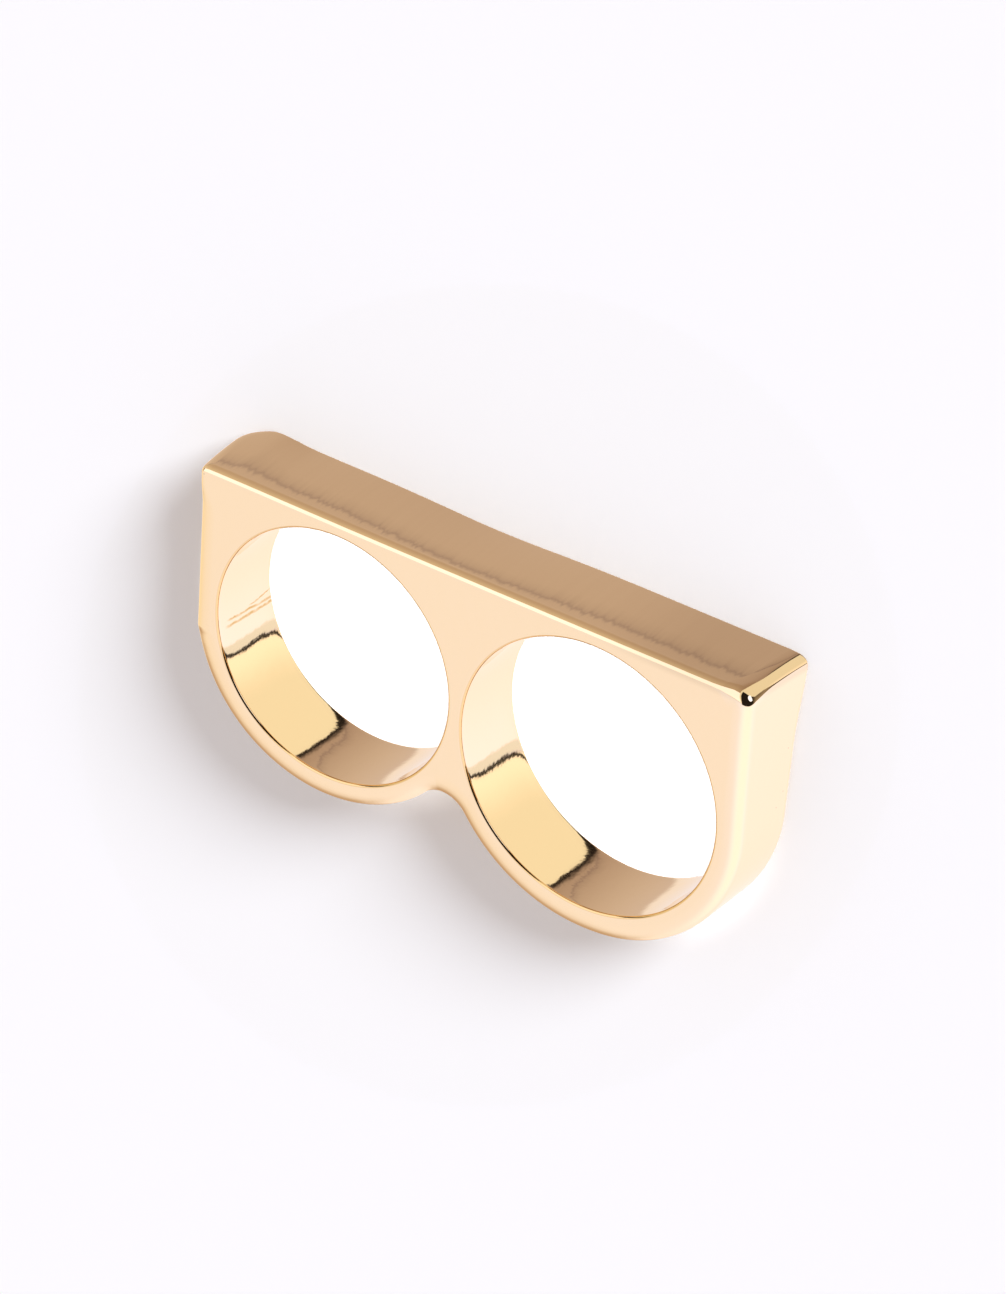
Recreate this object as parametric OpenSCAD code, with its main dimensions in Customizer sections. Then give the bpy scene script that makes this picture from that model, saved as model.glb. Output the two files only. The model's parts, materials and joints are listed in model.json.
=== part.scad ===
// Double-finger bar ring, cast and polished in one piece.
// It lies on its back face: X runs along the bar, +Y points to the bar's top,
// and the two finger holes run along Z. The origin is the middle of its footprint.

/* [Finger holes] */
// Diameter of the left finger hole
left_hole_d = 16.9; // [16:0.1:17.2]
// Diameter of the right finger hole
right_hole_d = 18.2; // [17.6:0.1:18.4]
// Distance between the two hole centres along the bar
hole_spacing = 18.63; // [18.5:0.01:20]
// How much nearer the bar's top the left hole's centre lies than the right one's
hole_step = 0.76; // [0:0.02:1]
// Width of the broken edge round each hole
rim_chamfer = 0.12; // [0.05:0.01:0.25]

/* [Bands] */
// Depth of the ring, from its back face to its front face
depth = 5.5; // [4.5:0.1:7]
// Outer radius of the left band's round bottom
left_band_r = 9.96; // [9.8:0.02:10.2]
// Outer radius of the right band's round bottom
right_band_r = 10.9; // [10.7:0.02:11.2]
// Metal below the left hole
left_low_wall = 1.7; // [1.4:0.02:2.2]
// Metal below the right hole
right_low_wall = 1.89; // [1.4:0.02:2.2]
// Metal between the left hole and the flat left end
left_side_wall = 1.74; // [1.5:0.02:2.2]
// Metal between the right hole and the flat right end
right_side_wall = 1.7; // [1.5:0.02:2.2]
// How far the flat left end is ground into the band's round
left_flat = 0.17; // [0.05:0.01:0.3]
// How far the flat right end is ground into the band's round
right_flat = 0.05; // [0.05:0.01:0.3]
// Radius of the fillet in the notch between the two bands
notch_r = 1.9; // [1:0.1:2.4]
// Rounding of the long edges of the bands
band_edge_r = 0.75; // [0.75:0.05:1]
// Rounding of the long edges of the two flat ends
end_edge_r = 0.7; // [0.4:0.05:0.7]

/* [Bar] */
// Metal between the left hole and the bar's top, at its highest line
bar_wall = 1.47; // [1.3:0.01:2.5]
// Outward lean of the right end, in degrees
right_lean = 3.3; // [0:0.1:5]
// Radius of the bar's domed top, across its depth
crown_r = 25; // [20:1:80]
// Distance of the dome's highest line from the back face
crown_line = 0.6; // [0:0.1:2.8]
// Rounding of the bar's top edges
top_edge_r = 0.5; // [0.3:0.05:0.8]

/* [Hidden] */
$fn = 96;
gold = "#e8c690";
// Chords that make up a rounded edge, and the domed top
edge_steps = 3;
crown_steps = 6;
// How far a shape that cuts or is cut away runs past the metal
spare = 3;
// How far the notch fillet reaches into the bands
notch_bite = 0.02;
left_hole_r = left_hole_d / 2;
right_hole_r = right_hole_d / 2;
// All places are measured from the point midway between the hole centres
left_hole = [-hole_spacing / 2, hole_step / 2];
right_hole = [hole_spacing / 2, -hole_step / 2];
left_end_x = left_hole.x - left_hole_r - left_side_wall;
left_centre = [left_end_x - left_flat + left_band_r,
               left_hole.y - left_hole_r - left_low_wall + left_band_r];
right_centre = [right_hole.x + right_hole_r + right_side_wall + right_flat - right_band_r,
                right_hole.y - right_hole_r - right_low_wall + right_band_r];
top_y = left_hole.y + left_hole_r + bar_wall;
low_y = min(left_centre.y - left_band_r, right_centre.y - right_band_r);
// The right end's face lies right_reach away from the right band's centre, square to its lean
right_reach = right_band_r - right_flat;
right_end_x = right_centre.x + (right_reach + (top_y - right_centre.y) * sin(right_lean)) / cos(right_lean);
mid = [(left_end_x + right_end_x) / 2, (top_y + low_y) / 2];
// The notch fillet touches both bands: its centre lies where two circles cross
left_span = left_band_r + notch_r - notch_bite;
right_span = right_band_r + notch_r - notch_bite;
gap = right_centre - left_centre;
along = (left_span ^ 2 - right_span ^ 2 + norm(gap) ^ 2) / (2 * norm(gap));
notch_centre = left_centre
               + (gap * along + [gap.y, -gap.x] * sqrt(left_span ^ 2 - along ^ 2)) / norm(gap);
// Height of the domed top at depth z, and the slope from its back edge to its front edge
function crown_y(z) = top_y - crown_r + sqrt(crown_r ^ 2 - (z - crown_line) ^ 2);
crown_slope = atan((crown_y(0) - crown_y(depth)) / depth);

// Points on an arc, from one angle to another
function arc(centre, r, from, to, steps) =
    [for (i = [0:steps]) let (a = from + (to - from) * i / steps) centre + r * [cos(a), sin(a)]];

// Outline of metal whose edge at x = r is rounded at the back and at the front face
module edge_section(from, r, edge_r) {
    polygon(concat([[from, depth], [from, 0]],
                   arc([r - edge_r, edge_r], edge_r, -90, 0, edge_steps),
                   arc([r - edge_r, depth - edge_r], edge_r, 0, 90, edge_steps)));
}

// Round bottom of one band, before its finger hole is cut
module band(centre, r) {
    translate(centre) rotate_extrude() edge_section(0, r, band_edge_r);
}

// Metal between the bands, down to the notch fillet with its rounded edges
module web() {
    inside = left_centre.y + spare;
    intersection() {
        translate([0, 0, -spare]) linear_extrude(depth + 2 * spare)
            polygon([left_centre, notch_centre, right_centre,
                     [right_centre.x, inside], [left_centre.x, inside]]);
        translate(notch_centre) rotate_extrude() mirror([1, 0])
            edge_section(-2 * right_span, -notch_r, band_edge_r);
    }
}

// Cross-section of the ring from the bar's domed top down, drawn with the ring's depth along x
module cross_section() {
    back = [top_edge_r, crown_y(top_edge_r) - top_edge_r];
    front = [depth - top_edge_r, crown_y(depth - top_edge_r) - top_edge_r];
    crown_centre = [crown_line, top_y - crown_r];
    back_angle = acos((top_edge_r - crown_line) / crown_r);
    front_angle = acos((depth - top_edge_r - crown_line) / crown_r);
    polygon(concat([[depth, low_y - spare], [depth, front.y]],
                   arc(front, top_edge_r, 0, front_angle, edge_steps),
                   arc(crown_centre, crown_r, front_angle, back_angle, crown_steps),
                   arc(back, top_edge_r, back_angle, 180, edge_steps),
                   [[0, low_y - spare]]));
}

// Space below the bar's domed top, with its rounded front and back edges
module below_crown() {
    translate([right_end_x + spare, 0, 0]) rotate([0, -90, 0])
        linear_extrude(right_end_x - left_end_x + 2 * spare) cross_section();
}

// Metal of the bar and its ends, above the bands' centres and not yet trimmed
module bar() {
    linear_extrude(depth)
        polygon([left_centre, [left_end_x - spare, left_centre.y], [left_end_x - spare, top_y + spare],
                 [right_end_x + spare, top_y + spare], [right_end_x + spare, right_centre.y],
                 right_centre]);
}

// Space behind a flat end with rounded long edges.
// The end's face is at x = 0.
module behind_end() {
    height = top_y - low_y + spare;
    translate([0, height, 0]) rotate([90, 0, 0]) linear_extrude(2 * height)
        edge_section(left_end_x - right_end_x - spare, 0, end_edge_r);
}

// What is taken off to round the edge between a flat end and the domed top.
// The end's face is at x = 0, and y = 0 touches the middle of the dome.
module end_rounding() {
    translate([0, 0, -spare]) linear_extrude(depth + 2 * spare)
        polygon(concat([[spare, spare], [spare, -top_edge_r]],
                       arc([-top_edge_r, -top_edge_r], top_edge_r, 0, 90, edge_steps),
                       [[-top_edge_r, spare]]));
}

// Puts end_rounding at the height and slope of the dome
module at_crown() {
    translate([0, crown_y(depth / 2), depth / 2]) rotate([-crown_slope, 0, 0])
        translate([0, 0, -depth / 2]) children();
}

// Finger hole with its rims broken
module finger_hole(centre, r) {
    translate([centre.x, centre.y, 0]) {
        translate([0, 0, -spare]) cylinder(r = r, h = depth + 2 * spare);
        translate([0, 0, -rim_chamfer])
            cylinder(r1 = r + 2 * rim_chamfer, r2 = r, h = 2 * rim_chamfer);
        translate([0, 0, depth - rim_chamfer])
            cylinder(r1 = r, r2 = r + 2 * rim_chamfer, h = 2 * rim_chamfer);
    }
}

module ring() {
    color(gold) translate([-mid.x, -mid.y, 0]) difference() {
        intersection() {
            union() {
                band(left_centre, left_band_r);
                band(right_centre, right_band_r);
                web();
                bar();
            }
            below_crown();
            translate([left_end_x, 0, 0]) mirror([1, 0, 0]) behind_end();
            translate(right_centre) rotate(-right_lean) translate([right_reach, 0, 0]) behind_end();
        }
        translate([left_end_x, 0, 0]) mirror([1, 0, 0]) at_crown() end_rounding();
        translate([right_end_x, 0, 0]) at_crown() end_rounding();
        finger_hole(left_hole, left_hole_r);
        finger_hole(right_hole, right_hole_r);
    }
}

ring();
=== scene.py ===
import json
import math

import bmesh
import bpy
from mathutils import Matrix, Vector


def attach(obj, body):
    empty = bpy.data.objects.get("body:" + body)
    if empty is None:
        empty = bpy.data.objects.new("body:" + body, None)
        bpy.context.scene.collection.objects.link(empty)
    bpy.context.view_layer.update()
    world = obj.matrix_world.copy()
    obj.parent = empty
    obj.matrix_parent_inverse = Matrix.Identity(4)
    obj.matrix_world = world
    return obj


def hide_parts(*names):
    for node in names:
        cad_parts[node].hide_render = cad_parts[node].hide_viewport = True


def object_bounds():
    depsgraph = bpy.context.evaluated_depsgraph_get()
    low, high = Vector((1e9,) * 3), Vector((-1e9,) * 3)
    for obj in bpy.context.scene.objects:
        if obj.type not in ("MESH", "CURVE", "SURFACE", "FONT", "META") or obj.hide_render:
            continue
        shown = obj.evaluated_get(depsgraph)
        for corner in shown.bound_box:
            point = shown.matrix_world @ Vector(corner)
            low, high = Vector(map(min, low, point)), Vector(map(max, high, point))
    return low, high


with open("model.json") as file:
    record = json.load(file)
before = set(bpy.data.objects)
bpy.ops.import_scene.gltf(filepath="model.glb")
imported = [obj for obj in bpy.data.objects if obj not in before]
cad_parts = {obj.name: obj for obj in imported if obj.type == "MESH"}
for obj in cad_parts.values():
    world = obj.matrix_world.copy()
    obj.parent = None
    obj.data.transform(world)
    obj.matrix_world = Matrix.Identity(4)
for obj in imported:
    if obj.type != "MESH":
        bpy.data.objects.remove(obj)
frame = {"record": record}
cad_low, cad_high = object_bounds()

# Sizes are in millimetres until a finished piece is brought to metres
MM = 0.001
UP = Vector((0, 0, 1))

# The ring's finger holes, from its mounts, and the corners of its solid
BORES = {
    mount["name"]: (Vector(mount["pos_m"]).to_2d() / MM, mount["dims"]["r_mm"])
    for mount in frame["record"]["mounts"]
    if mount["kind"] == "bore"
}
LEFT_HOLE, LEFT_HOLE_R = BORES["left_finger_hole"]
RIGHT_HOLE, RIGHT_HOLE_R = BORES["right_finger_hole"]
LEFT_END = cad_low.x / MM
RIGHT_END = cad_high.x / MM
BAR_TOP = cad_high.y / MM
DEPTH = cad_high.z / MM

# Bands: radius of each round bottom, metal below each hole, fillet of the notch, and rims of the holes
LEFT_BAND_R = 9.96
RIGHT_BAND_R = 10.9
LEFT_LOW_WALL = 1.75
RIGHT_LOW_WALL = 1.89
NOTCH_R = 1.9
RIM_R = 0.18
# How much wider each hole is at its back and front faces than in the middle
BACK_FLARE = 0.05
FRONT_FLARE = 0.03

# Flat ends: how far the left one is ground into its band, the round at its foot, and the outward lean
# of the right one at the back and at the front
LEFT_FLAT = 0.17
LEFT_FOOT_R = 2.5
RIGHT_LEAN_BACK = math.radians(3.3)
RIGHT_LEAN_FRONT = math.radians(0.4)

# Rounded edges: how wide each turns, and how quickly. A low power leaves a long, soft end.
BAND_EDGE = (0.68, 1.3)
SIDE_EDGE = (0.75, 2.0)
TOP_EDGE = (0.34, 1.6)
CORNER_EDGE = (0.72, 2.0)
BACK_BAND_EDGE = (0.75, 2.0)
BACK_TOP_EDGE = (0.16, 2.0)
LEFT_CORNER = (0.45, 2.0)
RIGHT_CORNER = (0.7, 1.6)

# The top's edges: how far below the bar's top they start, and where they are full
TOP_EDGE_FROM = 3
TOP_EDGE_FULL = 0.8
BACK_TOP_EDGE_FROM = 6
BACK_TOP_EDGE_FULL = 1
# The bands' front edge: it grows as the outline turns to face down, and ends along the right band
BAND_EDGE_FACING = (-0.1, 0.35)
BAND_EDGE_END = (8, 14)
# Right corner: how much more it is rounded at the front face, over which depth, how far from the
# corner its own front edge holds, and where that has passed over into the next one
CORNER_GROWTH = 1.55
CORNER_GROWS_OVER = 2.3
CORNER_FULL = 1.35
CORNER_SPREAD = 2.3
# Left corner: how far from it its own front edge holds, and where that has passed over
LEFT_CORNER_FULL = 0.8
LEFT_CORNER_SPREAD = 3.0

# Left end: how far its back edge is rounded off, and how far below the bar's top that is full and ends
BACK_CORNER_R = 1.95
BACK_CORNER_FULL = 2
BACK_CORNER_REACH = 8

# Bar's top: how far its back and its front lie below the solid's highest point, the depths between
# which it falls, and how steeply it falls at last
TOP_BACK_DROP = 0.18
TOP_FRONT_DROP = 0.50
CROWN_LINE = 0.6
TOP_FRONT_AT = 5.0
TOP_FALL_POWER = 2.2
# Hollows (below 0) and humps: height along the back, height along the front, middle and width.
# From the back to the front a height fades into the other one with this power.
TOP_WAVES = [(-0.25, 0, -1.9, 5.5), (0.2, 0, -18.0, 1.7), (0, 0.1, -19, 8)]
TOP_WAVE_POWER = 2
# How far below the bar's top its shape starts to be drawn down, and where it is full
TOP_REACH = 7
TOP_FULL = 1

# Mesh fineness: the steps of each part
BORE_STEPS = 192
EDGE_STEPS = 14
BORE_WALL_STEPS = 16
RIM_STEPS = 6
BEND_STEPS = 6
FLAT_STEPS = 8
TOP_STEPS = 56
END_STEPS = 16
FOOT_STEPS = 8
BAND_ARC_STEP = math.radians(1.5)
EASE_FINENESS = 30
# A rounded edge's last, flattest step, as a multiple of the way before it
EASE_TAIL = 1.35
# How steeply a finger hole widens towards its faces
FLARE_POWER = 4
# A narrow border beside each rounding keeps the flat next to it flat
HOLD = 0.02
# Flat that is left between a rounded edge and a hole's rim
RIM_SPARE = 6 * HOLD
# Points closer than this are one point
SAME_PLACE = 0.004
# The outline faces sideways or up where the height part of its facing is more than this
SIDEWAYS = -0.1


def smooth_share(value, low, high):
    """Goes smoothly from 0 to 1 while value goes from low to high."""
    share = min(1, max(0, (value - low) / (high - low)))
    return share * share * (3 - 2 * share)


def between(first, second, share):
    return first + (second - first) * share


def heading(angle):
    return Vector((math.cos(angle), math.sin(angle)))


def angle_of(vector):
    return math.atan2(vector.y, vector.x)


def ease(size, power):
    """A rounded edge that turns from one face to the next, quickly at first and then ever more gently.

    Each point gives how far it still lies from the second face, how far it has come from the first one,
    and the angle that is left to turn.
    """
    square = math.pi / 2
    turns = [square * (1 - step / EDGE_STEPS) for step in range(EDGE_STEPS)]
    places = [size * math.log(square / turn) ** (1 / power) for turn in turns]
    places.append(places[-1] * EASE_TAIL)
    along = across = 0
    points = [(0, 0, square)]
    for start, end, turn in zip(places, places[1:], turns[1:] + [0]):
        part = (end - start) / EASE_FINENESS
        for count in range(EASE_FINENESS):
            angle = square * math.exp(-(((start + (count + 0.5) * part) / size) ** power))
            along += math.sin(angle) * part
            across += math.cos(angle) * part
        points.append((along, across, turn))
    return [(along - point[0], point[1], point[2]) for point in points]


# Centres of the two round bottoms
LEFT_CENTRE = Vector((
    LEFT_END - LEFT_FLAT + LEFT_BAND_R,
    LEFT_HOLE.y - LEFT_HOLE_R - LEFT_LOW_WALL + LEFT_BAND_R,
))
RIGHT_LOW = RIGHT_HOLE.y - RIGHT_HOLE_R - RIGHT_LOW_WALL
RIGHT_RISE = (BAR_TOP - RIGHT_LOW - RIGHT_BAND_R) * math.sin(RIGHT_LEAN_BACK)
RIGHT_CENTRE = Vector((
    RIGHT_END - (RIGHT_BAND_R + RIGHT_RISE) / math.cos(RIGHT_LEAN_BACK),
    RIGHT_LOW + RIGHT_BAND_R,
))


def find_notch():
    """Centre of the fillet that touches both round bottoms from below."""
    left_span = LEFT_BAND_R + NOTCH_R
    right_span = RIGHT_BAND_R + NOTCH_R
    gap = RIGHT_CENTRE - LEFT_CENTRE
    along = (left_span**2 - right_span**2 + gap.length_squared) / (2 * gap.length)
    across = math.sqrt(left_span**2 - along**2)
    below = Vector((gap.y, -gap.x)).normalized()
    return LEFT_CENTRE + gap.normalized() * along + below * across


def find_left_foot():
    """Centre of the small round between the left band and its flat end."""
    inside = LEFT_BAND_R - LEFT_FOOT_R
    return Vector((
        LEFT_END + LEFT_FOOT_R,
        LEFT_CENTRE.y - math.sqrt(inside**2 - (inside - LEFT_FLAT) ** 2),
    ))


NOTCH_CENTRE = find_notch()
LEFT_FOOT = find_left_foot()
TO_NOTCH = angle_of(NOTCH_CENTRE - LEFT_CENTRE)
FROM_NOTCH = angle_of(NOTCH_CENTRE - RIGHT_CENTRE)
FOOT_TURN = angle_of(LEFT_FOOT - LEFT_CENTRE)
RIGHT_BAND_STEPS = round(-FROM_NOTCH / BAND_ARC_STEP)


def arc(centre, radius, start, end, steps=None):
    """Points on an arc and the way each faces. A negative radius makes a hollow arc."""
    steps = steps or round(abs(end - start) / BAND_ARC_STEP)
    turns = [start + (end - start) * step / steps for step in range(steps + 1)]
    outward = 1 if radius > 0 else -1
    return [(centre + heading(turn) * abs(radius), heading(turn) * outward) for turn in turns]


def line(start, end, facing, steps):
    """Points on a straight stretch between two roundings, which hold its own end points."""
    length = (end - start).length
    places = [HOLD] + [length * step / steps for step in range(1, steps)] + [length - HOLD]
    return [(start.lerp(end, place / length), facing) for place in places]


RIGHT_CORNER_CURVE = ease(*RIGHT_CORNER)
LEFT_CORNER_CURVE = ease(*LEFT_CORNER)


def edge_curve(size, power):
    """A rounded edge as pairs of depth from the face and inset."""
    return [Vector((away, inset)) for away, inset, _ in ease(size, power)]


BAND_CURVE = edge_curve(*BAND_EDGE)
SIDE_CURVE = edge_curve(*SIDE_EDGE)
CORNER_CURVE = edge_curve(*CORNER_EDGE)
# The bar's top edge turns quickly beside the top, and gently into the front face
TOP_CURVE = [Vector((pair.y, pair.x)) for pair in reversed(edge_curve(*TOP_EDGE))]
BACK_BAND_CURVE = edge_curve(*BACK_BAND_EDGE)
BACK_TOP_CURVE = edge_curve(*BACK_TOP_EDGE)


def right_end_at(z):
    """Lean of the right end at depth z, and where its face meets the bar's top."""
    lean = between(RIGHT_LEAN_BACK, RIGHT_LEAN_FRONT, z / DEPTH)
    rise = (BAR_TOP - RIGHT_CENTRE.y) * math.sin(lean)
    return lean, RIGHT_CENTRE.x + (RIGHT_BAND_R + rise) / math.cos(lean)


def left_cut_at(z, y):
    """How far the left end's back edge is rounded off at a depth and a height."""
    ground = max(0, BACK_CORNER_R - z)
    cut = BACK_CORNER_R - math.sqrt(BACK_CORNER_R**2 - ground**2)
    return cut * smooth_share(y, BAR_TOP - BACK_CORNER_REACH, BAR_TOP - BACK_CORNER_FULL)


def outline_at(z):
    """The outline at depth z, anticlockwise from the left foot: points with the way each faces."""
    lean, right_end = right_end_at(z)
    cut = left_cut_at(z, BAR_TOP)
    points = arc(LEFT_CENTRE, LEFT_BAND_R, FOOT_TURN, TO_NOTCH)
    points += arc(NOTCH_CENTRE, -NOTCH_R, TO_NOTCH + math.pi, FROM_NOTCH + math.pi)[1:-1]
    points += arc(RIGHT_CENTRE, RIGHT_BAND_R, FROM_NOTCH, -lean, RIGHT_BAND_STEPS)
    growth = between(1, CORNER_GROWTH, smooth_share(z, DEPTH - CORNER_GROWS_OVER, DEPTH))
    corner = []
    for below, inside, turn in RIGHT_CORNER_CURVE:
        along = right_end - inside * growth - below * growth * math.tan(lean)
        facing = heading((math.pi / 2 - turn) - lean * turn / (math.pi / 2))
        corner.append((Vector((along, BAR_TOP - below * growth)), facing))
    points += line(points[-1][0], corner[0][0], heading(-lean), END_STEPS)
    points += corner
    corner = [
        (Vector((LEFT_END + cut + inside, BAR_TOP - below)), heading(math.pi / 2 + turn))
        for below, inside, turn in reversed(LEFT_CORNER_CURVE)
    ]
    points += line(points[-1][0], corner[0][0], Vector((0, 1)), TOP_STEPS)
    points += corner
    foot = arc(LEFT_FOOT, LEFT_FOOT_R, -math.pi, FOOT_TURN, FOOT_STEPS)
    start = Vector((LEFT_END, corner[-1][0].y))
    for point, facing in line(start, foot[0][0], Vector((-1, 0)), END_STEPS):
        points.append((point + Vector((left_cut_at(z, point.y), 0)), facing))
    points += foot[:-1]
    return points


def edge_mix(point, facing):
    """Rounded front and back edge at a point of the outline: pairs of depth from the face and inset."""
    on_bar = smooth_share(point.y, BAR_TOP - TOP_EDGE_FROM, BAR_TOP - TOP_EDGE_FULL)
    from_left = max(point.x - LEFT_END, BAR_TOP - point.y)
    by_left = 1 - smooth_share(from_left, LEFT_CORNER_FULL, LEFT_CORNER_SPREAD)
    top = max(on_bar * max(0, facing.y), by_left)
    low = smooth_share(-facing.y, *BAND_EDGE_FACING) * (1 - smooth_share(point.x, *BAND_EDGE_END))
    from_corner = max(right_end_at(DEPTH)[1] - point.x, BAR_TOP - point.y)
    corner = 1 - smooth_share(from_corner, CORNER_FULL, CORNER_SPREAD)
    walls = [(point - LEFT_HOLE).length - LEFT_HOLE_R, (point - RIGHT_HOLE).length - RIGHT_HOLE_R]
    room = min(walls) - BACK_FLARE - RIM_R - RIM_SPARE
    front = []
    for on_side, on_band, on_top, on_corner in zip(SIDE_CURVE, BAND_CURVE, TOP_CURVE, CORNER_CURVE):
        front.append(on_side.lerp(on_band, low).lerp(on_top, top).lerp(on_corner, corner))
    narrowing = min(1, room / front[-1].y)
    front = [Vector((pair.x, pair.y * narrowing)) for pair in front]
    high = smooth_share(point.y, BAR_TOP - BACK_TOP_EDGE_FROM, BAR_TOP - BACK_TOP_EDGE_FULL)
    back = [on_band.lerp(on_top, high) for on_band, on_top in zip(BACK_BAND_CURVE, BACK_TOP_CURVE)]
    return front, back


def side_levels(point, facing):
    """The depth and inset of each level at a point of the outline, from the back face to the front."""
    front, back = edge_mix(point, facing)
    levels = [(0, back[-1].y + HOLD)]
    levels += [(pair.x, pair.y) for pair in reversed(back)]
    low = back[0].x + HOLD
    high = DEPTH - front[0].x - HOLD
    # Even turns round the ground corner, then even steps
    wall = [low]
    for step in range(1, BEND_STEPS + 1):
        place = BACK_CORNER_R * (1 - math.cos(math.pi / 2 * step / BEND_STEPS))
        wall.append(low + place * (1 - low / BACK_CORNER_R))
    bend_end = wall[-1]
    wall += [between(bend_end, high, step / FLAT_STEPS) for step in range(1, FLAT_STEPS + 1)]
    levels += [(z, 0) for z in wall]
    levels += [(DEPTH - pair.x, pair.y) for pair in front]
    levels.append((DEPTH, front[-1].y + HOLD))
    return levels


def top_height(x, z):
    """Height of the bar's top at a place along it and a depth."""
    share = max(0, (z - CROWN_LINE) / (TOP_FRONT_AT - CROWN_LINE)) ** TOP_FALL_POWER
    height = BAR_TOP - between(TOP_BACK_DROP, TOP_FRONT_DROP, share)
    for back, front, middle, width in TOP_WAVES:
        size = between(front, back, (1 - z / DEPTH) ** TOP_WAVE_POWER)
        height += size * math.exp(-(((x - middle) / width) ** 2))
    return height


def shape_top(place):
    """Brings a point of the bar from the solid's flat highest level to the top's real shape."""
    share = smooth_share(place.y, BAR_TOP - TOP_REACH, BAR_TOP - TOP_FULL)
    return place - Vector((0, (BAR_TOP - top_height(place.x, place.z)) * share, 0))


def inset_place(point, facing, z, inset):
    """Moves a point of the outline inwards. At a corner it stops where the two insets meet."""
    place = point - facing * inset
    lean, right_end = right_end_at(z)
    place.y = min(place.y, BAR_TOP - inset)
    place.x = min(place.x, right_end - (BAR_TOP - place.y) * math.tan(lean) - inset)
    place.x = max(place.x, LEFT_END + left_cut_at(z, place.y) + inset)
    return place


def draw_sides(ring):
    """Draws the outer side with its rounded edges, level by level from the back face to the front."""
    number = ring.verts.layers.int.new("spot")
    outline = outline_at(DEPTH)
    levels = [side_levels(point, facing) for point, facing in outline]
    loop = [ring.verts.new() for _ in outline]
    lines = [ring.edges.new((loop[spot - 1], loop[spot])) for spot in range(len(loop))]
    for spot, vert in enumerate(loop):
        vert[number] = spot
    for level in range(len(levels[0])):
        if level > 0:
            drawn = bmesh.ops.extrude_edge_only(ring, edges=lines)["geom"]
            loop = [item for item in drawn if isinstance(item, bmesh.types.BMVert)]
            lines = [item for item in drawn if isinstance(item, bmesh.types.BMEdge)]
        outlines = {}
        last = None
        for vert in sorted(loop, key=lambda vert: vert[number]):
            z, inset = levels[vert[number]][level]
            if z not in outlines:
                outlines[z] = outline_at(z)
            point, facing = outlines[z][vert[number]]
            place = inset_place(point, facing, z, inset)
            # At the right corner no point falls back behind the one before it
            if last and point.x > RIGHT_HOLE.x and facing.y > SIDEWAYS:
                place.y = max(place.y, last.y)
                place.x = min(place.x, last.x) if facing.y > 0 else place.x
            last = place
            vert.co = shape_top(place.to_3d() + UP * z)
    bmesh.ops.remove_doubles(ring, verts=ring.verts, dist=SAME_PLACE)


def half_wall(radius, flare):
    """Half of a finger hole's wall, from its face inwards: pairs of distance from the axis and depth."""
    half = DEPTH / 2
    section = [(radius + RIM_R + flare + HOLD, 0)]
    for step in range(RIM_STEPS + 1):
        turn = math.pi / 2 * step / RIM_STEPS
        section.append((radius + flare + RIM_R * (1 - math.sin(turn)), RIM_R * (1 - math.cos(turn))))
    for step in range(1, BORE_WALL_STEPS):
        z = RIM_R + (half - RIM_R) * step / BORE_WALL_STEPS
        section.append((radius + flare * ((half - z) / (half - RIM_R)) ** FLARE_POWER, z))
    return section


def spin_bore(ring, centre, radius):
    """Turns the section of a finger hole's wall, with its rounded rims, all the way round."""
    section = half_wall(radius, BACK_FLARE)
    section.append((radius, DEPTH / 2))
    section += [(out, DEPTH - z) for out, z in reversed(half_wall(radius, FRONT_FLARE))]
    points = [ring.verts.new((centre.x + out, centre.y, z)) for out, z in section]
    lines = [ring.edges.new(pair) for pair in zip(points, points[1:])]
    bmesh.ops.spin(
        ring,
        geom=points + lines,
        cent=(centre.x, centre.y, 0),
        axis=UP,
        angle=2 * math.pi,
        steps=BORE_STEPS,
        use_merge=True,
    )


def fill_face(ring, z):
    """Fills a flat face between the ring's border and the rims of its two holes."""
    rims = [
        edge
        for edge in ring.edges
        if edge.is_boundary and all(abs(vert.co.z - z) < HOLD / 2 for vert in edge.verts)
    ]
    bmesh.ops.triangle_fill(ring, use_beauty=True, edges=rims, normal=UP)


def build_ring():
    """The cast ring as one closed piece."""
    ring = bmesh.new()
    draw_sides(ring)
    spin_bore(ring, LEFT_HOLE, LEFT_HOLE_R)
    spin_bore(ring, RIGHT_HOLE, RIGHT_HOLE_R)
    fill_face(ring, 0)
    fill_face(ring, DEPTH)
    bmesh.ops.recalc_face_normals(ring, faces=ring.faces)
    return finish_piece(ring, "polished_ring")


def finish_piece(mesh, name):
    """Brings a piece to metres and makes it an object at the origin, shaded smooth."""
    bmesh.ops.scale(mesh, vec=(MM, MM, MM), verts=mesh.verts)
    data = bpy.data.meshes.new(name)
    mesh.to_mesh(data)
    mesh.free()
    data.shade_smooth()
    return place_in_scene(data)


def place_in_scene(data):
    thing = bpy.data.objects.new(data.name, data)
    bpy.context.scene.collection.objects.link(thing)
    return thing


# Shader helpers: an input is a number, a colour or another node's output
def add_node(tree, kind, inputs=(), **settings):
    node = tree.nodes.new(kind)
    for name, value in settings.items():
        setattr(node, name, value)
    for socket, value in dict(inputs).items():
        if isinstance(value, bpy.types.NodeSocket):
            tree.links.new(value, node.inputs[socket])
        else:
            node.inputs[socket].default_value = value
    return node


def maths(tree, operation, *values):
    return add_node(tree, "ShaderNodeMath", dict(enumerate(values)), operation=operation).outputs[0]


def vector_maths(tree, operation, *values):
    node = add_node(tree, "ShaderNodeVectorMath", dict(enumerate(values)), operation=operation)
    return node.outputs["Value" if operation == "DOT_PRODUCT" else "Vector"]


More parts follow.
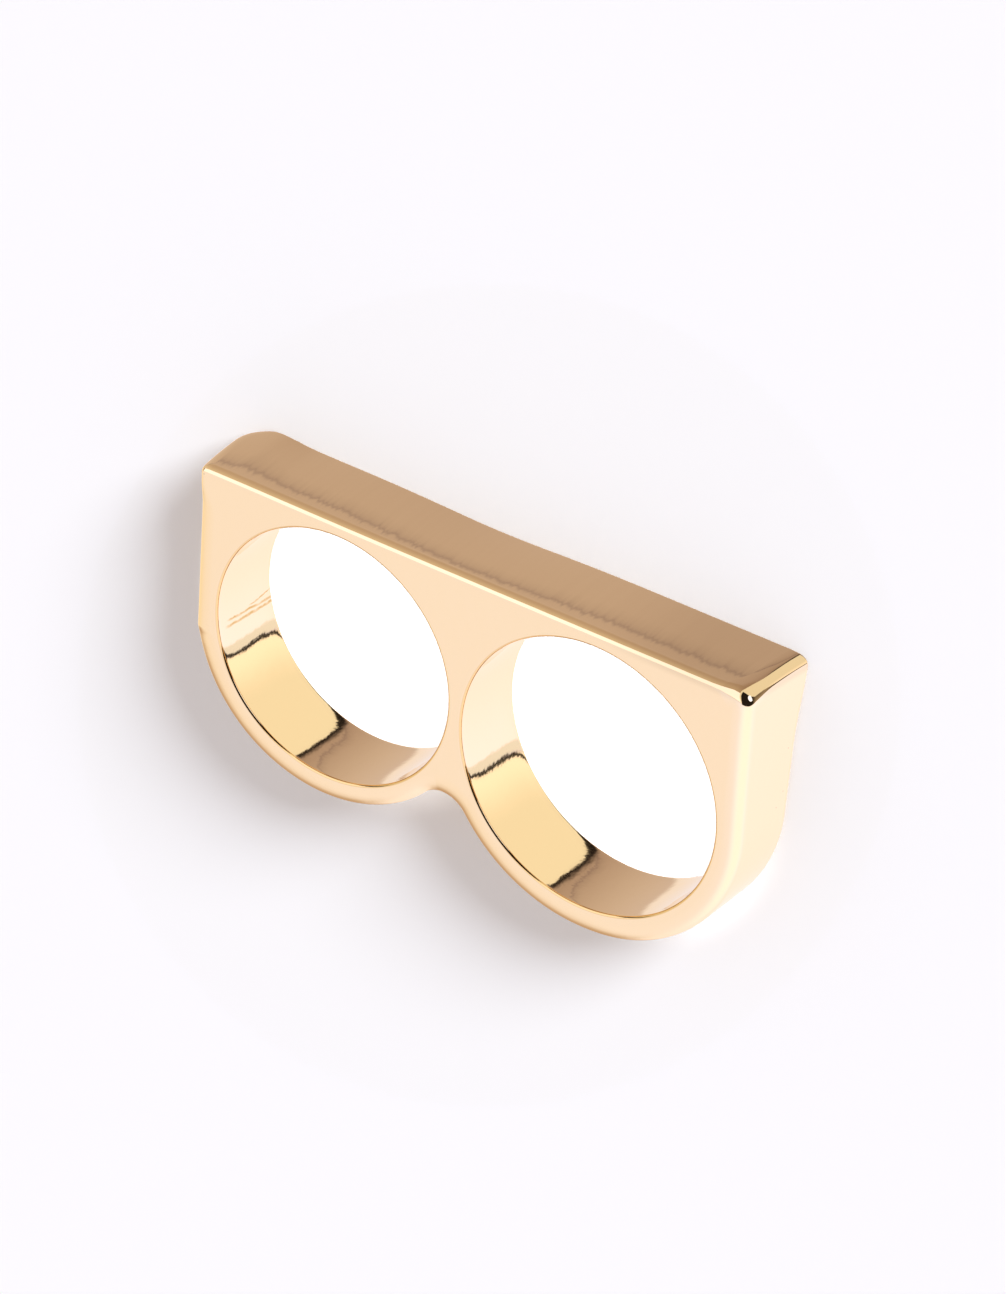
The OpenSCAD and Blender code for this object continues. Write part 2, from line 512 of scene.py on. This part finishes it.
def rise(tree, value, low, high, start=0.0, end=1.0):
    """Goes smoothly from start to end while value goes from low to high."""
    inputs = {"Value": value, "From Min": low, "From Max": high, "To Min": start, "To Max": end}
    node = add_node(tree, "ShaderNodeMapRange", inputs, interpolation_type="SMOOTHSTEP")
    return node.outputs["Result"]


def both(tree, *shares):
    """A share that is full only where all the given ones are."""
    share = shares[0]
    for other in shares[1:]:
        share = maths(tree, "MULTIPLY", share, other)
    return share


def ramp(tree, value, low, high, stops):
    """A colour that follows value from low to high. Stops are pairs of value and colour."""
    share = add_node(tree, "ShaderNodeMapRange", {"Value": value, "From Min": low, "From Max": high})
    node = add_node(tree, "ShaderNodeValToRGB", {"Fac": share.outputs["Result"]})
    elements = node.color_ramp.elements
    elements.remove(elements[1])
    for spot, (place, colour) in enumerate(stops):
        element = elements.new((place - low) / (high - low)) if spot > 0 else elements[0]
        element.position = (place - low) / (high - low)
        element.color = (*colour, 1)
    return node.outputs["Color"]


def mix(tree, share, first, second, blend="MIX"):
    node = add_node(tree, "ShaderNodeMix", data_type="RGBA", blend_type=blend, clamp_factor=True)
    colours = [socket for socket in node.inputs if socket.type == "RGBA"]
    for socket, value in zip([node.inputs[0]] + colours, (share, first, second)):
        if isinstance(value, bpy.types.NodeSocket):
            tree.links.new(value, socket)
        elif socket.type == "RGBA":
            socket.default_value = (*value, 1)
        else:
            socket.default_value = value
    return next(socket for socket in node.outputs if socket.type == "RGBA")


# Finish: gold plate, in linear colour
GOLD = (0.991, 0.752, 0.412)
GOLD_ROUGHNESS = 0.06
# Waves that hand polishing leaves: length, height, and a share of each axis. A small share draws the
# waves out along that axis.
SIDE_WAVES = [(3.2, 0.012, (1, 1, 1)), (0.8, 0.005, (1, 1, 1)), (0.2, 0.0009, (1, 1, 1))]
TOP_WAVINESS = [(4.0, 0.010, (1, 1, 0.3)), (1.1, 0.010, (1, 1, 0.08)), (0.45, 0.002, (1, 1, 0.12))]
WAVE_DETAIL = 2
WAVE_ROUGHNESS = 0.55
# Between these heights the sides' waves pass over into the top's
TOP_FROM = 9.5
TOP_TO = 10.0
# Painted shade: the top's colour is painted a little browner towards the right end, in place of the
# darker reflection there
PAINTED_SHADE_GOLD = (0.88, 0.66, 0.36)
PAINTED_SHADE_FROM = 7
PAINTED_SHADE_TO = 15
# Drag marks in the left hole: place round the wall, drift with depth, half width, depths of both ends
DRAG_MARKS = [
    (2.006, -0.071, 0.14, 0.0, 4.6),
    (1.740, -0.096, 0.11, 0.0, 4.4),
    (1.195, 0.056, 0.07, 0.3, 2.2),
]
DRAG_COLOUR = (0.68, 0.42, 0.12)
# How softly a mark ends, the share of its width that is full, and the distances from the wall between
# which it fades away
DRAG_END = 0.3
DRAG_FULL = 0.25
DRAG_ON_WALL = 0.08
DRAG_OFF_WALL = 0.16
# Grain that shifts the marks sideways and makes them uneven: size, detail, shift and its middle, the
# grain levels of the weakest and the strongest places, and the weakest strength
GRAIN_SIZE = 0.5
GRAIN_DETAIL = 3
GRAIN_SHIFT = 0.25
GRAIN_MIDDLE = 0.12
GRAIN_WEAK = 0.25
GRAIN_STRONG = 0.62
WEAKEST_MARK = 0.45
# Pin-sized pits on the right end, by height and depth, the share of their radius in full colour, and
# how far along the bar that end begins
PITS = [(1.5, 1.05), (4.6, 1.05), (0.6, 1.6)]
PIT_R = 0.05
PIT_COLOUR = (0.35, 0.24, 0.12)
PIT_STRENGTH = 0.7
PIT_FULL = 1 / 3
END_FROM = 18.5
END_FULL = 19
# The plating looks deeper gold where it turns round the rims of the holes, fully so within this share
# of a rim's rounding
RIM_COLOUR = (0.80, 0.53, 0.20)
RIM_STRENGTH = 0.85
RIM_FULL = 0.6


def gold_plate():
    """Polished gold plate over a casting: mirror-like, with faint waves from hand polishing."""
    material = bpy.data.materials.new("polished_gold_plate")
    material.use_nodes = True
    tree = material.node_tree
    surface = tree.nodes["Principled BSDF"]
    surface.inputs["Metallic"].default_value = 1
    surface.inputs["Roughness"].default_value = GOLD_ROUGHNESS
    place = add_node(tree, "ShaderNodeTexCoord").outputs["Object"]
    along, height, depth = add_node(tree, "ShaderNodeSeparateXYZ", {"Vector": place}).outputs
    on_top = rise(tree, height, TOP_FROM * MM, TOP_TO * MM)
    # Painted shade: the top is painted browner towards the right end, standing in for its darker
    # reflection
    painted_shade = both(tree, on_top, rise(tree, along, PAINTED_SHADE_FROM * MM, PAINTED_SHADE_TO * MM))
    colour = mix(tree, painted_shade, GOLD, PAINTED_SHADE_GOLD)
    colour = mix(tree, drag_marks(tree, place, along, height, depth), colour, DRAG_COLOUR)
    colour = mix(tree, pits(tree, along, height, depth), colour, PIT_COLOUR)
    for centre, radius in BORES.values():
        colour = mix(tree, on_rim(tree, centre, radius, along, height, depth), colour, RIM_COLOUR)
    tree.links.new(colour, surface.inputs["Base Color"])
    relief = maths(tree, "MULTIPLY", on_top, waviness(tree, place, TOP_WAVINESS))
    elsewhere = maths(tree, "SUBTRACT", 1.0, on_top)
    relief = maths(tree, "MULTIPLY_ADD", elsewhere, waviness(tree, place, SIDE_WAVES), relief)
    bump = add_node(tree, "ShaderNodeBump", {"Distance": MM, "Height": relief})
    tree.links.new(bump.outputs["Normal"], surface.inputs["Normal"])
    return material


def drag_marks(tree, place, along, height, depth):
    """Where the marks lie that a tool has dragged across the left hole's wall, with uneven strength."""
    leftward = maths(tree, "SUBTRACT", LEFT_HOLE.x * MM, along)
    downward = maths(tree, "SUBTRACT", LEFT_HOLE.y * MM, height)
    turn = maths(tree, "ARCTAN2", downward, leftward)
    reach = maths(tree, "SQRT", maths(tree, "ADD", squared(tree, leftward), squared(tree, downward)))
    on_wall = rise(tree, reach, (LEFT_HOLE_R + DRAG_OFF_WALL) * MM, (LEFT_HOLE_R + DRAG_ON_WALL) * MM)
    inputs = {"Vector": place, "Scale": 1 / (GRAIN_SIZE * MM), "Detail": GRAIN_DETAIL}
    grain = add_node(tree, "ShaderNodeTexNoise", inputs).outputs["Fac"]
    shift = maths(tree, "MULTIPLY", grain, GRAIN_SHIFT * MM)
    round_wall = maths(tree, "MULTIPLY_ADD", turn, LEFT_HOLE_R * MM, shift)
    marks = 0.0
    for spot, drift, half_width, start, end in DRAG_MARKS:
        middle = maths(tree, "MULTIPLY_ADD", depth, drift, (spot + GRAIN_MIDDLE) * MM)
        away = maths(tree, "ABSOLUTE", maths(tree, "SUBTRACT", round_wall, middle))
        mark = both(
            tree,
            rise(tree, away, half_width * MM, half_width * MM * DRAG_FULL),
            rise(tree, depth, (start - DRAG_END) * MM, (start + DRAG_END) * MM),
            rise(tree, depth, (end + DRAG_END) * MM, (end - DRAG_END) * MM),
        )
        marks = maths(tree, "MAXIMUM", marks, mark)
    return both(tree, marks, on_wall, rise(tree, grain, GRAIN_WEAK, GRAIN_STRONG, WEAKEST_MARK, 1.0))


def squared(tree, value):
    return maths(tree, "MULTIPLY", value, value)


def on_rim(tree, centre, radius, along, height, depth):
    """Where the plating turns from the front face into a finger hole."""
    aside = squared(tree, maths(tree, "SUBTRACT", along, centre.x * MM))
    upward = squared(tree, maths(tree, "SUBTRACT", height, centre.y * MM))
    reach = maths(tree, "SQRT", maths(tree, "ADD", aside, upward))
    wall = radius + FRONT_FLARE
    inside = rise(tree, reach, (wall + RIM_R) * MM, (wall + RIM_R * RIM_FULL) * MM)
    before = rise(tree, depth, (DEPTH - RIM_R) * MM, (DEPTH - RIM_R * RIM_FULL) * MM)
    return both(tree, inside, before, RIM_STRENGTH)


def pits(tree, along, height, depth):
    """Where the pin-sized pits lie."""
    on_end = rise(tree, along, END_FROM * MM, END_FULL * MM)
    dots = 0.0
    for up, down in PITS:
        aside = maths(tree, "SUBTRACT", height, up * MM)
        inward = maths(tree, "SUBTRACT", depth, down * MM)
        away = maths(tree, "SQRT", maths(tree, "ADD", squared(tree, aside), squared(tree, inward)))
        dots = maths(tree, "MAXIMUM", dots, rise(tree, away, PIT_R * MM, PIT_R * MM * PIT_FULL))
    return both(tree, on_end, dots, PIT_STRENGTH)


def waviness(tree, place, waves):
    """Adds up waves of several lengths, in millimetres of height."""
    relief = 0.0
    for length, height, drawn_out in waves:
        spot = vector_maths(tree, "MULTIPLY", place, drawn_out)
        inputs = {"Vector": spot, "Scale": 1 / (length * MM), "Detail": WAVE_DETAIL}
        inputs["Roughness"] = WAVE_ROUGHNESS
        wave = add_node(tree, "ShaderNodeTexNoise", inputs).outputs["Fac"]
        relief = maths(tree, "MULTIPLY_ADD", wave, height, relief)
    return relief


# Studio light by direction: x to the bar's right end, y to its top, z up.
# Light levels are (red, green, blue). Each place of light is a list of measures of the direction, with
# the value where the light starts and the one where it is full.

# At this height the edges of the warm panel and of the dark side bend. Above it they run slanted over
# this reach.
BEND_AT = -0.7
BEND_REACH = 0.15
# Measures that are sums of others, with the weight of each
SLANTS = {
    "over_key_edge": ("z", [("y", -0.53)]),
    "over_wedge": ("z", [("y", -0.7)]),
    "past_panel_edge": ("x", [("below_bend", -1.8), ("above_bend", -0.5)]),
    "past_gap_edge": ("past_panel_edge", [("below_bend", 1.4)]),
    "past_side_edge": ("y", [("below_bend", -0.5), ("above_bend", 0.4)]),
}
ALL_HEIGHTS = (-1, 1)
SHADE = (0.02, 0.015, 0.015)

# White sweep in front of the bar's face, with a brighter spot, and dimmer low on the left
SWEEP = (1.095, 1.076, 1.387)
SWEEP_BY_X = (0.10, 0.20, 0.70)
SWEEP_BY_Z = (-0.07, 0.023, 0.296)
BRIGHT = (1.3, 1.28, 1.66)
BRIGHT_SPOT = (0.7155, -0.546, 0.435)
BRIGHT_NEARNESS = (0.45, 1.0)
LOW_SWEEP = (0.58, 0.43, 0.34)
LOW_SWEEP_PLACE = [("x", -0.20, -0.40), ("y", -0.56, -0.68), ("z", 0.62, -0.05), ("z", -0.66, -0.58)]
FLOOR_EDGE = (0.945, 0.91, 1.03)
FLOOR_EDGE_PLACE = [("x", -0.35, -0.45), ("y", -0.56, -0.50), ("z", -0.4, -0.6)]

# Dimmer room behind the bar, with a dark seam across it
ROOM = (0.36, 0.26, 0.24)
ROOM_PLACE = [("y", -0.04, 0.06)]
ROOM_BY_X = (-0.42, -0.43, -0.47)
ROOM_BY_HEIGHT = [
    (-0.56, (1.0, 1.0, 1.04)),
    (-0.45, (1.04, 1.05, 1.11)),
    (-0.38, (0.92, 0.88, 0.80)),
    (-0.15, (1.05, 1.03, 0.95)),
    (0.05, (1.14, 1.15, 1.02)),
    (0.27, (1.22, 1.27, 1.13)),
]
SEAM_FACES = (0.4545, 0.733, 0.507)
SEAM_REACH = (-0.1, 0.1)
SEAM = [
    (-0.060, (1.0, 1.0, 1.0)),
    (-0.015, (0.94, 0.94, 0.94)),
    (0.011, (0.85, 0.84, 0.86)),
    (0.021, (0.60, 0.58, 0.64)),
    (0.029, (0.85, 0.85, 0.88)),
    (0.037, (1.0, 1.0, 1.0)),
]

# Bright key panel to the left, with a dark strip beside it
KEY_SHADE_PLACE = [
    ("x", -0.90, -0.86),
    ("x", -0.76, -0.78),
    ("y", 0.02, 0.04),
    ("over_key_edge", -0.14, -0.10),
]
KEY = (1.4, 1.4, 1.8)
KEY_PLACE = [("x", -0.80, -0.76), ("y", 0.02, 0.05), ("over_key_edge", -0.02, 0.02)]

# Warm panel to the right, brighter beside the bar's face, where a tan band joins it
WARM_PANEL = (0.97, 0.94, 0.90)
WARM_PANEL_PLACE = [("past_panel_edge", -0.14, -0.12), ("y", 0.0, 0.02)]
WARM_PANEL_SIDE = (1.28, 1.18, 1.20)
WARM_PANEL_SIDE_PLACE = [("y", 0.5, 0.05)]
TAN_BAND = (0.93, 0.95, 1.13)
TAN_BAND_PLACE = [("x", 0.0, 0.1), ("y", -0.12, -0.10), ("y", 0.0, -0.02)]

# Dark side to the right: a wedge low down and a thin gap above it, which glow a little below eye level
DARK_SIDE_PLACE = [("x", 0.02, 0.06), ("past_side_edge", -0.022, -0.002)]
WEDGE_PLACE = [("over_wedge", -0.62, -0.59)]
THIN_GAP_PLACE = [("past_side_edge", 0.043, 0.023)]
DARK_SIDE = [
    (-0.58, SHADE),
    (-0.48, (0.18, 0.14, 0.11)),
    (-0.38, (0.38, 0.31, 0.25)),
    (-0.25, (0.18, 0.14, 0.11)),
    (-0.12, SHADE),
]

# Small lamp above the warm panel, and the dark gap behind the panel's left edge
LAMP = (1.5, 1.75, 2.8)
LAMP_SPOT = (0.774, 0.631, 0.051)
LAMP_NEARNESS = (0.935, 0.955)
LAMP_PLACE = [("z", -0.12, -0.06)]
BACK_GAP_PLACE = [
    ("past_gap_edge", -0.22, -0.15),
    ("past_panel_edge", -0.12, -0.14),
    ("y", 0.0, 0.05),
    ("z", -0.52, -0.62),
]

# What the floor is lit by, and what the camera sees beyond the floor
DOME = (0.65, 0.595, 0.585)
BACKGROUND = (0.93, 0.92, 0.95)


def measure_ways(tree, ways):
    """The measures of a direction, by name."""
    x, y, z = add_node(tree, "ShaderNodeSeparateXYZ", {"Vector": ways}).outputs
    below = maths(tree, "MAXIMUM", maths(tree, "SUBTRACT", BEND_AT, z), 0.0)
    above = maths(tree, "MAXIMUM", maths(tree, "SUBTRACT", z, BEND_AT), 0.0)
    above = maths(tree, "MINIMUM", above, BEND_REACH)
    found = {"x": x, "y": y, "z": z, "below_bend": below, "above_bend": above}
    for name, (first, others) in SLANTS.items():
        total = found[first]
        for other, weight in others:
            total = maths(tree, "MULTIPLY_ADD", found[other], weight, total)
        found[name] = total
    return found


def within(tree, found, place):
    """How far a direction lies in a place of light, from 0 to 1."""
    return both(tree, *(rise(tree, found[name], start, full) for name, start, full in place))


def nearness(tree, ways, spot, reach):
    """How near a direction comes to that of a spot, from 0 to 1."""
    return rise(tree, vector_maths(tree, "DOT_PRODUCT", ways, spot), *reach)


def by_part(tree, part, levels, light):
    """Adds light levels in proportion to one part of the direction."""
    parts = add_node(tree, "ShaderNodeCombineXYZ", {"X": part, "Y": part, "Z": part}).outputs["Vector"]
    return vector_maths(tree, "MULTIPLY_ADD", parts, levels, light)


def sweep_light(tree, ways, found):
    light = by_part(tree, found["x"], SWEEP_BY_X, SWEEP)
    light = by_part(tree, found["z"], SWEEP_BY_Z, light)
    light = mix(tree, nearness(tree, ways, BRIGHT_SPOT, BRIGHT_NEARNESS), light, BRIGHT)
    light = mix(tree, within(tree, found, LOW_SWEEP_PLACE), light, LOW_SWEEP)
    return mix(tree, within(tree, found, FLOOR_EDGE_PLACE), light, FLOOR_EDGE)


def room_light(tree, ways, found):
    light = by_part(tree, found["x"], ROOM_BY_X, ROOM)
    light = mix(tree, 1.0, light, ramp(tree, found["z"], *ALL_HEIGHTS, ROOM_BY_HEIGHT), "MULTIPLY")
    past_seam = vector_maths(tree, "DOT_PRODUCT", ways, SEAM_FACES)
    return mix(tree, 1.0, light, ramp(tree, past_seam, *SEAM_REACH, SEAM), "MULTIPLY")


def dark_side_share(tree, found):
    wedge = within(tree, found, WEDGE_PLACE)
    thin_gap = within(tree, found, THIN_GAP_PLACE)
    return both(tree, within(tree, found, DARK_SIDE_PLACE), maths(tree, "MAXIMUM", wedge, thin_gap))


def studio():
    """World light of the studio, by direction. The camera itself sees a plain pale background."""
    world = bpy.data.worlds.new("studio")
    bpy.context.scene.world = world
    world.use_nodes = True
    tree = world.node_tree
    ways = add_node(tree, "ShaderNodeTexCoord").outputs["Generated"]
    rays = add_node(tree, "ShaderNodeLightPath").outputs
    found = measure_ways(tree, ways)
    warm = mix(tree, within(tree, found, WARM_PANEL_SIDE_PLACE), WARM_PANEL, WARM_PANEL_SIDE)
    lamp = both(tree, nearness(tree, ways, LAMP_SPOT, LAMP_NEARNESS), within(tree, found, LAMP_PLACE))
    # Each layer covers the ones before it
    layers = [
        (within(tree, found, ROOM_PLACE), room_light(tree, ways, found)),
        (within(tree, found, KEY_SHADE_PLACE), SHADE),
        (within(tree, found, KEY_PLACE), KEY),
        (within(tree, found, WARM_PANEL_PLACE), warm),
        (within(tree, found, TAN_BAND_PLACE), TAN_BAND),
        (dark_side_share(tree, found), ramp(tree, found["z"], *ALL_HEIGHTS, DARK_SIDE)),
        (lamp, LAMP),
        (within(tree, found, BACK_GAP_PLACE), SHADE),
        (rays["Is Diffuse Ray"], DOME),
        (rays["Is Camera Ray"], BACKGROUND),
    ]
    light = sweep_light(tree, ways, found)
    for share, level in layers:
        light = mix(tree, share, light, level)
    tree.links.new(light, tree.nodes["Background"].inputs["Color"])


# Floor and lamps
FLOOR_SIZE = 3.0
FLOOR_COLOUR = (0.90, 0.90, 0.90)
FLOOR_ROUGHNESS = 0.9


def floor():
    plane = bmesh.new()
    bmesh.ops.create_grid(plane, x_segments=1, y_segments=1, size=FLOOR_SIZE / MM)
    piece = finish_piece(plane, "studio_floor")
    material = bpy.data.materials.new("pale_floor")
    material.use_nodes = True
    surface = material.node_tree.nodes["Principled BSDF"]
    surface.inputs["Base Color"].default_value = (*FLOOR_COLOUR, 1)
    surface.inputs["Roughness"].default_value = FLOOR_ROUGHNESS
    piece.data.materials.append(material)
    piece.visible_glossy = False


# Far soft lamp: light, how wide it looks, its direction from the right end towards the bar's top, and
# its height, in degrees
KEY_LAMP_COLOUR = (0.94, 1.0, 1.09)
KEY_LAMP_ENERGY = 3.9
KEY_LAMP_WIDTH = 20
KEY_LAMP_AZIMUTH = 46
KEY_LAMP_ELEVATION = 22


def aim_lamp(lamp, toward):
    """Puts a lamp in the scene so that it shines from a direction. Reflections don't show it."""
    piece = place_in_scene(lamp)
    piece.rotation_euler = toward.to_track_quat("Z", "Y").to_euler()
    piece.visible_glossy = False
    return piece


def key_lamp():
    lamp = bpy.data.lights.new("key_lamp", "SUN")
    lamp.color = KEY_LAMP_COLOUR
    lamp.energy = KEY_LAMP_ENERGY
    lamp.angle = math.radians(KEY_LAMP_WIDTH)
    level = heading(math.radians(KEY_LAMP_AZIMUTH)).to_3d()
    aim_lamp(lamp, level + UP * math.tan(math.radians(KEY_LAMP_ELEVATION)))


# Camera: it looks from the bar's top right, with the picture turned so that the bar runs across it
AIM = Vector((0.00024, 0.00433, 0.00245))
DISTANCE = 0.687
AZIMUTH = math.radians(139.583)
ELEVATION = math.radians(44.474)
ROLL = math.radians(-126.221)
LENS = 322.5
BACK_TO_CAMERA = Vector((
    math.sin(AZIMUTH) * math.cos(ELEVATION),
    -math.cos(AZIMUTH) * math.cos(ELEVATION),
    math.sin(ELEVATION),
))
STAND = AIM + BACK_TO_CAMERA * DISTANCE


def camera():
    data = bpy.data.cameras.new("camera")
    data.lens = LENS
    piece = place_in_scene(data)
    turn = (-BACK_TO_CAMERA).to_track_quat("-Z", "Y").to_matrix() @ Matrix.Rotation(ROLL, 3, "Z")
    piece.matrix_world = Matrix.Translation(STAND) @ turn.to_4x4()
    bpy.context.scene.camera = piece


# Lamps beside the camera that light the floor through the finger holes: power, size and soft edge, how
# far each oval of light reaches as a share of the hole's radius, and how narrow it is across
HOLE_LAMP_POWER = 60
HOLE_LAMP_R = 0.004
HOLE_LAMP_SOFT_EDGE = 0.1
HOLE_LAMP_REACH = 1.0
HOLE_LAMP_NARROWING = 0.54


def hole_lamp(name, centre, radius):
    lamp = bpy.data.lights.new(name, "SPOT")
    toward = STAND - (centre.to_3d() + UP * DEPTH / 2) * MM
    lamp.energy = HOLE_LAMP_POWER
    lamp.shadow_soft_size = HOLE_LAMP_R
    lamp.spot_blend = HOLE_LAMP_SOFT_EDGE
    lamp.spot_size = 2 * math.atan(HOLE_LAMP_REACH * radius * MM / toward.length)
    piece = aim_lamp(lamp, toward)
    piece.location = STAND
    piece.scale.y = HOLE_LAMP_NARROWING


ring = build_ring()
ring.data.materials.append(gold_plate())
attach(ring, "root")
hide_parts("ring")

floor()
studio()
key_lamp()
hole_lamp("left_hole_lamp", LEFT_HOLE, LEFT_HOLE_R)
hole_lamp("right_hole_lamp", RIGHT_HOLE, RIGHT_HOLE_R)
camera()
bpy.context.scene.view_settings.view_transform = "Standard"
